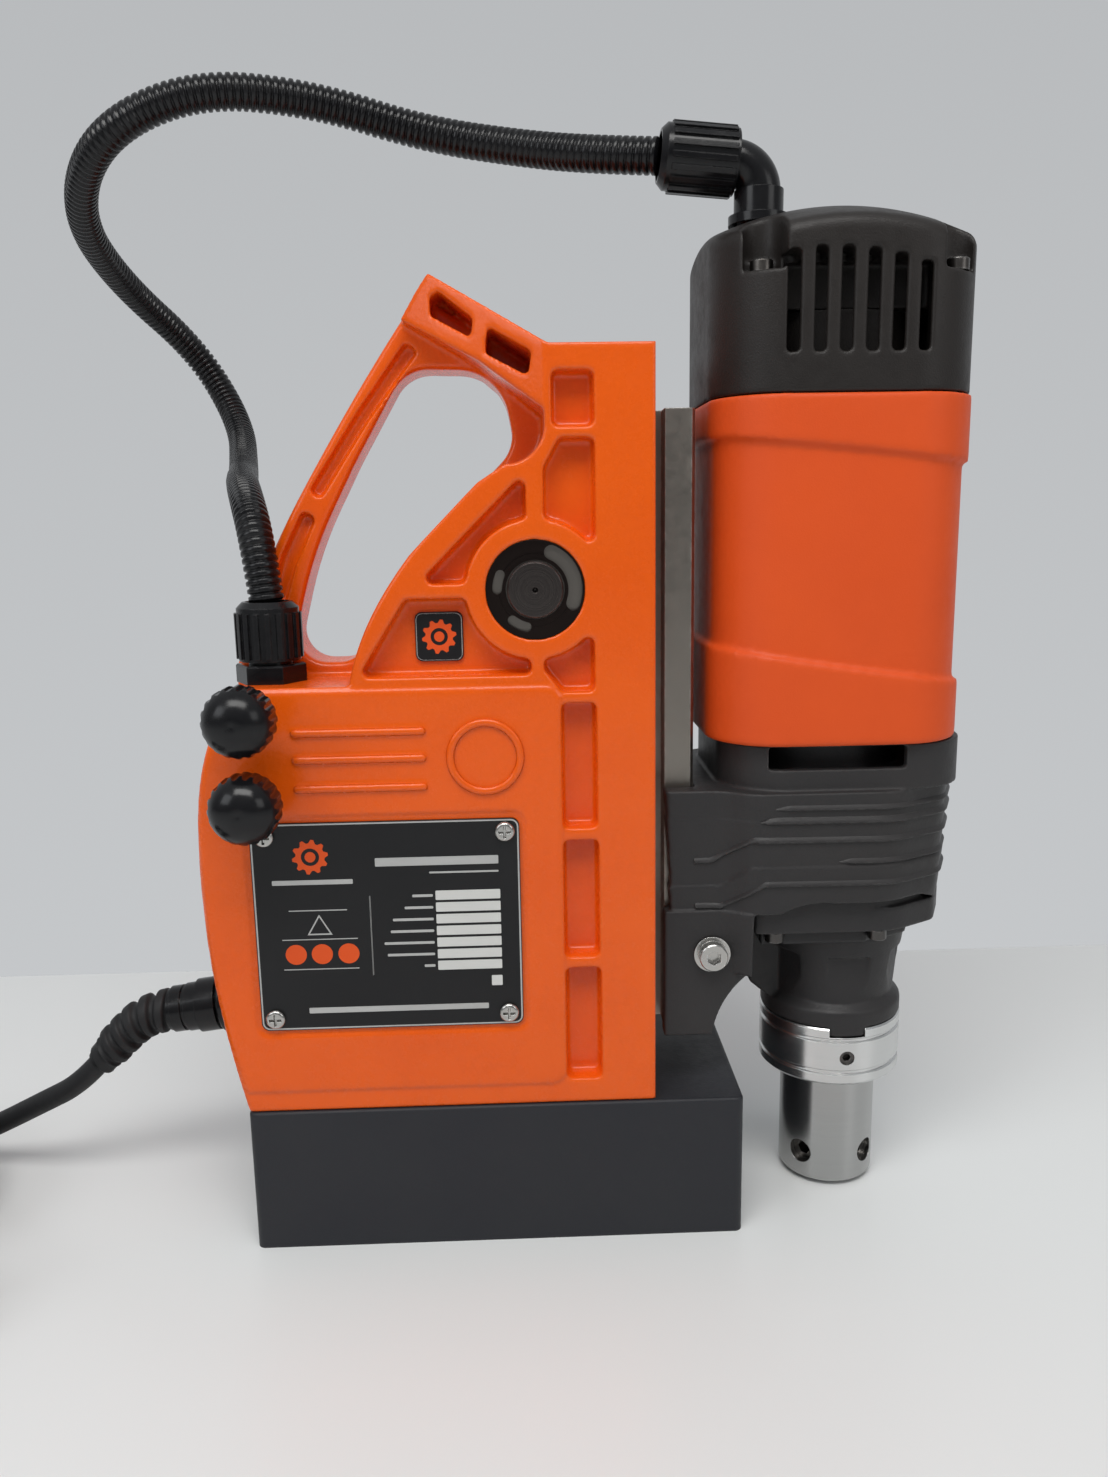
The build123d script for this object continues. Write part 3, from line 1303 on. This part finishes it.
# ---------------------------------------------------------------- armature, layshaft, spindle
first_angle = math.degrees(math.atan2(layshaft_y, layshaft_dx))
second_angle = math.degrees(math.atan2(-layshaft_y, spindle_x - layshaft_x))
pinion_low = 156.5
with BuildPart() as armature_shaft:
    with BuildSketch(motor_level(pinion_low)):
        add(gear_outline(first_module, first_pinion_teeth, first_angle, backlash))
    extrude(amount=13.0)
    with BuildSketch(motor_level(pinion_low + 13.0)):
        Circle(5.0)
    extrude(amount=1.5)
    with BuildSketch(motor_level(pinion_low + 14.5)):
        Circle(6.0)
    extrude(amount=340.0 - pinion_low - 14.5)
    with BuildSketch(motor_level(340.0)):
        Circle(4.0)
    extrude(amount=15.6)

with BuildPart() as armature_core:
    for low, high, radius in ((206, 216, 21), (216, 284, 26), (284, 296, 21), (303, 318, 13)):
        with BuildSketch(motor_level(low)):
            Circle(radius)
            Circle(6.0, mode=Mode.SUBTRACT)
        extrude(amount=high - low)
    with BuildSketch(motor_level(296)):
        Circle(9.0)
        Circle(6.0, mode=Mode.SUBTRACT)
    extrude(amount=7.0)

with BuildPart() as cooling_fan:
    with BuildSketch(motor_level(196.5)):
        Circle(34.0)
        Circle(6.0, mode=Mode.SUBTRACT)
    extrude(amount=1.6)
    with BuildSketch(motor_level(197.0)):
        with PolarLocations(24.0, 11):
            Rectangle(18.0, 1.4, rotation=25)
        Circle(10.0)
        Circle(6.0, mode=Mode.SUBTRACT)
    extrude(amount=6.5)

layshaft_plane = Plane(origin=(layshaft_x, layshaft_y, 0))
with BuildPart() as layshaft:
    with BuildSketch(layshaft_plane.offset(124.5)):
        Circle(4.0)
    extrude(amount=50.0)
    with BuildSketch(layshaft_plane.offset(137.0)):
        add(gear_outline(second_module, second_pinion_teeth, second_angle, backlash))
    extrude(amount=17.0)

with BuildPart() as layshaft_gear:
    with BuildSketch(layshaft_plane.offset(157.5)):
        tooth_angle = first_angle + 180 + 180 / first_gear_teeth
        add(gear_outline(first_module, first_gear_teeth, tooth_angle, backlash))
        Circle(4.0, mode=Mode.SUBTRACT)
    extrude(amount=11.0)

socket_screw_height = 13.5
socket_screw_angles = (-137.0, -47.0)


def radial_plane(angle, distance, height):
    """A plane that faces outward from the spindle's axis."""
    direction = Vector(math.cos(math.radians(angle)), math.sin(math.radians(angle)), 0)
    return Plane(origin=Vector(spindle_x, 0, height) + direction * distance, z_dir=direction)


with BuildPart() as spindle:
    with BuildSketch(spindle_level(spindle_bottom)):
        Circle(socket_radius)
    extrude(amount=69.6 - spindle_bottom)
    fillet(spindle.edges().sort_by(Axis.Z)[0], radius=1.0)
    with BuildSketch(spindle_level(69.6)):
        Circle(journal_radius)
    extrude(amount=155.0 - 69.6)
    with BuildSketch(spindle_level(spindle_bottom)):
        Circle(arbor_bore_radius)
    extrude(amount=arbor_bore_depth, mode=Mode.SUBTRACT)
    with BuildSketch(spindle_level(spindle_bottom)):
        Circle(3.6)
    extrude(amount=110.0, mode=Mode.SUBTRACT)
    for angle in socket_screw_angles:
        with BuildSketch(radial_plane(angle, socket_radius + 2, socket_screw_height)):
            Circle(5.0)
        extrude(amount=-(socket_radius + 2), mode=Mode.SUBTRACT)

with BuildPart() as arbor_screws:
    for angle in socket_screw_angles:
        with BuildSketch(radial_plane(angle, socket_radius - 3.4, socket_screw_height)):
            Circle(4.95)
            RegularPolygon(2.5, 6, major_radius=False, mode=Mode.SUBTRACT)
        extrude(amount=-5.6)

with BuildPart() as spindle_gear:
    with BuildSketch(spindle_level(139.0)):
        tooth_angle = second_angle + 180 + 180 / second_gear_teeth
        add(gear_outline(second_module, second_gear_teeth, tooth_angle, backlash))
        Circle(15.0, mode=Mode.SUBTRACT)
    extrude(amount=13.0)

# ---------------------------------------------------------------- knobs
with BuildPart() as knob_form:  # a domed, scalloped knob standing on Z = 0
    with BuildSketch(Plane.XZ):
        with BuildLine():
            Polyline((0, 0), (9.0, 0), (10.0, 2.0), (11.8, 4.0), (knob_radius, 6.0), (knob_radius, 12.5))
            ThreePointArc((knob_radius, 12.5), (9.2, 17.6), (0, 20.5))
            Line((0, 20.5), (0, 0))
        make_face()
    revolve(axis=Axis.Z)
    with BuildSketch(Plane.XY):
        with PolarLocations(knob_radius + 0.5, 20, start_angle=9):
            Circle(1.5)
    extrude(amount=16.5, mode=Mode.SUBTRACT)
    with BuildSketch(Plane.XY):
        Circle(3.0)
    extrude(amount=9.0, mode=Mode.SUBTRACT)

knob_gap = 10.0
knob_face = frame_half + pad_height + knob_gap


def knob_plane(height, distance):
    return Plane(origin=(knob_x, -distance, height), z_dir=(0, -1, 0), x_dir=(1, 0, 0))


def knob_stud(height):
    """The stud of a knob, from the casting's wall into the knob."""
    with BuildPart() as stud:
        with BuildSketch(knob_plane(height, near_wall - 1.5)):
            Circle(2.95)
        extrude(amount=knob_face - near_wall + 9.0)
        with BuildSketch(knob_plane(height, knob_face - 3.2)):
            Circle(6.0)
        extrude(amount=3.0)
    return stud.part


with BuildPart() as knob_upper:
    with Locations(knob_plane(knob_upper_z, knob_face)):
        add(knob_form.part)

with BuildPart() as knob_lower:
    with Locations(knob_plane(knob_lower_z, knob_face)):
        add(knob_form.part)

with BuildPart() as knob_upper_stud:
    add(knob_stud(knob_upper_z))

with BuildPart() as knob_lower_stud:
    add(knob_stud(knob_lower_z))

# ---------------------------------------------------------------- write the nodes
nodes = {
    "magnet_base": magnet_base,
    "magnet_coil": magnet_coil,
    "potting_resin": potting_resin,
    "base_bolts": base_bolts,
    "body_casting": body_casting,
    "nameplate": nameplate,
    "nameplate_screws": nameplate_screws,
    "badge": badge,
    "feed_bearings": feed_bearings,
    "hub_retainers": hub_retainers,
    "feed_shaft": feed_shaft,
    "gib_strip": gib_strip,
    "gib_screws": gib_screws,
    "control_cover": control_cover,
    "cover_screws": cover_screws,
    "switch_bezels": switch_bezels,
    "magnet_rocker": magnet_rocker,
    "start_button": start_button,
    "stop_button": stop_button,
    "circuit_board": circuit_board,
    "conduit_gland": conduit_gland,
    "conduit_gland_nut": conduit_gland_nut,
    "mains_gland": mains_gland,
    "mains_gland_nut": mains_gland_nut,
    "strain_relief": strain_relief,
    "mains_cable": mains_cable,
    "mains_cable_coil": mains_cable_coil,
    "mains_plug": mains_plug,
    "slide_rail": slide_rail,
    "feed_rack": feed_rack,
    "gearbox_housing": gearbox_housing,
    "bracket_bolts": bracket_bolts,
    "gearbox_cover": gearbox_cover,
    "cover_bolts": cover_bolts,
    "spindle_nose": spindle_nose,
    "coolant_collar": coolant_collar,
    "collar_screw": collar_screw,
    "spindle_bearings": spindle_bearings,
    "motor_shell": motor_shell,
    "motor_cap": motor_cap,
    "air_baffle": air_baffle,
    "cap_screws": cap_screws,
    "stator": stator,
    "brush_carrier": brush_carrier,
    "motor_bearings": motor_bearings,
    "conduit_elbow": conduit_elbow,
    "elbow_nut": elbow_nut,
    "conduit": conduit,
    "armature_shaft": armature_shaft,
    "armature_core": armature_core,
    "cooling_fan": cooling_fan,
    "layshaft": layshaft,
    "layshaft_gear": layshaft_gear,
    "spindle": spindle,
    "arbor_screws": arbor_screws,
    "spindle_gear": spindle_gear,
    "knob_upper": knob_upper,
    "knob_lower": knob_lower,
    "knob_upper_stud": knob_upper_stud,
    "knob_lower_stud": knob_lower_stud,
}
for node_name, node in nodes.items():
    node.part.label = node_name
    export_step(node.part, f"parts/{node_name}.step")
print(len(nodes), "nodes written")
